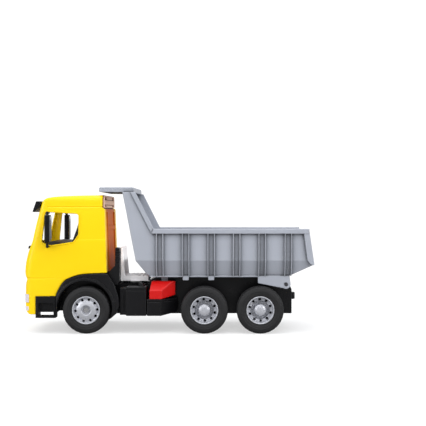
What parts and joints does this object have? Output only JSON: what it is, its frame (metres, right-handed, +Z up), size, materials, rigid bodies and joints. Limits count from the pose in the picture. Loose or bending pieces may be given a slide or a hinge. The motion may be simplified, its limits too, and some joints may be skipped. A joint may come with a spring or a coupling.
{
  "type": "toy dump truck",
  "caption": "Toy dump truck with a hollow cab, a rear-tipping open load body with a canopy, freely rolling wheels, a sliding body latch and a rear tow coupling.",
  "frame": {"origin": "bottom centre of the truck's overall box, on the ground", "axes": "-X towards the cab's front, +X towards the tail, -Y towards the truck's left side, +Z up; driving forward is -X"},
  "size_m": [0.6263, 0.2638, 0.316],
  "materials": {
    "black_plastic": "satin moulded",
    "dark_plastic": "satin moulded",
    "seat_plastic": "grained matt",
    "yellow_plastic": "gloss moulded",
    "amber_plastic": "gloss moulded",
    "pale_plastic": "gloss moulded",
    "pale_grey_plastic": "satin moulded",
    "grey_plastic": "satin moulded",
    "red_plastic": "gloss moulded",
    "lens_plastic": "clear gloss",
    "mirror_foil": "polished foil",
    "steel": "bright drawn",
    "tyre": "soft matt moulded",
    "rim_silver": "silver satin"
  },
  "bodies": {
    "root": {"chassis_frame": "black_plastic", "deck_plate": "pale_grey_plastic", "side_tank_left": "black_plastic", "side_tank_right": "black_plastic", "side_box_left": "black_plastic", "side_box_right": "black_plastic", "filler_caps": "black_plastic", "front_fender_left": "black_plastic", "front_fender_right": "black_plastic", "step_box_left": "black_plastic", "step_box_right": "black_plastic", "cab_shell": "yellow_plastic", "cab_rear_panel": "amber_plastic", "rear_vent_panel": "pale_plastic", "grille_insert": "black_plastic", "headlamp_lenses": "lens_plastic", "lower_lamp_lenses": "lens_plastic", "sun_visor": "black_plastic", "mirror_housing_left": "black_plastic", "mirror_housing_right": "black_plastic", "mirror_face_left": "mirror_foil", "mirror_face_right": "mirror_foil", "wiper_bars": "black_plastic", "interior_tub": "black_plastic", "seats": "seat_plastic", "air_intake": "black_plastic", "front_axle": "steel", "middle_axle": "steel", "rear_axle": "steel", "axle_retainers": "steel", "pivot_pin": "dark_plastic", "latch_guide": "black_plastic", "tow_coupling": "black_plastic", "frame_screws": "steel"},
    "dump_body": {"dump_body": "grey_plastic"},
    "latch": {"latch_lever": "red_plastic"},
    "wheel_front_left": {"tyre_front_left": "tyre", "rim_front_left": "rim_silver"},
    "wheel_front_right": {"tyre_front_right": "tyre", "rim_front_right": "rim_silver"},
    "wheel_middle_left": {"tyre_middle_left": "tyre", "rim_middle_left": "rim_silver", "hub_cap_middle_left": "rim_silver"},
    "wheel_middle_right": {"tyre_middle_right": "tyre", "rim_middle_right": "rim_silver", "hub_cap_middle_right": "rim_silver"},
    "wheel_rear_left": {"tyre_rear_left": "tyre", "rim_rear_left": "rim_silver", "hub_cap_rear_left": "rim_silver"},
    "wheel_rear_right": {"tyre_rear_right": "tyre", "rim_rear_right": "rim_silver", "hub_cap_rear_right": "rim_silver"}
  },
  "joints": [
    {"name": "dump_tilt", "type": "hinge", "parent": "root", "child": "dump_body", "pos_m": [0.2528, 0, 0.1055], "axis": [0, 1, 0], "range_deg": [0, 95]},
    {"name": "latch_slide", "type": "slide", "parent": "root", "child": "latch", "axis": [0, 1, 0], "range_m": [0, 0.008]},
    {"name": "wheel_front_left_spin", "type": "hinge", "parent": "root", "child": "wheel_front_left", "pos_m": [-0.1783, -0.094, 0.051], "axis": [0, 1, 0], "continuous": true},
    {"name": "wheel_front_right_spin", "type": "hinge", "parent": "root", "child": "wheel_front_right", "pos_m": [-0.1783, 0.094, 0.051], "axis": [0, 1, 0], "continuous": true},
    {"name": "wheel_middle_left_spin", "type": "hinge", "parent": "root", "child": "wheel_middle_left", "pos_m": [0.0758, -0.094, 0.051], "axis": [0, 1, 0], "continuous": true},
    {"name": "wheel_middle_right_spin", "type": "hinge", "parent": "root", "child": "wheel_middle_right", "pos_m": [0.0758, 0.094, 0.051], "axis": [0, 1, 0], "continuous": true},
    {"name": "wheel_rear_left_spin", "type": "hinge", "parent": "root", "child": "wheel_rear_left", "pos_m": [0.1964, -0.094, 0.051], "axis": [0, 1, 0], "continuous": true},
    {"name": "wheel_rear_right_spin", "type": "hinge", "parent": "root", "child": "wheel_rear_right", "pos_m": [0.1964, 0.094, 0.051], "axis": [0, 1, 0], "continuous": true}
  ]
}
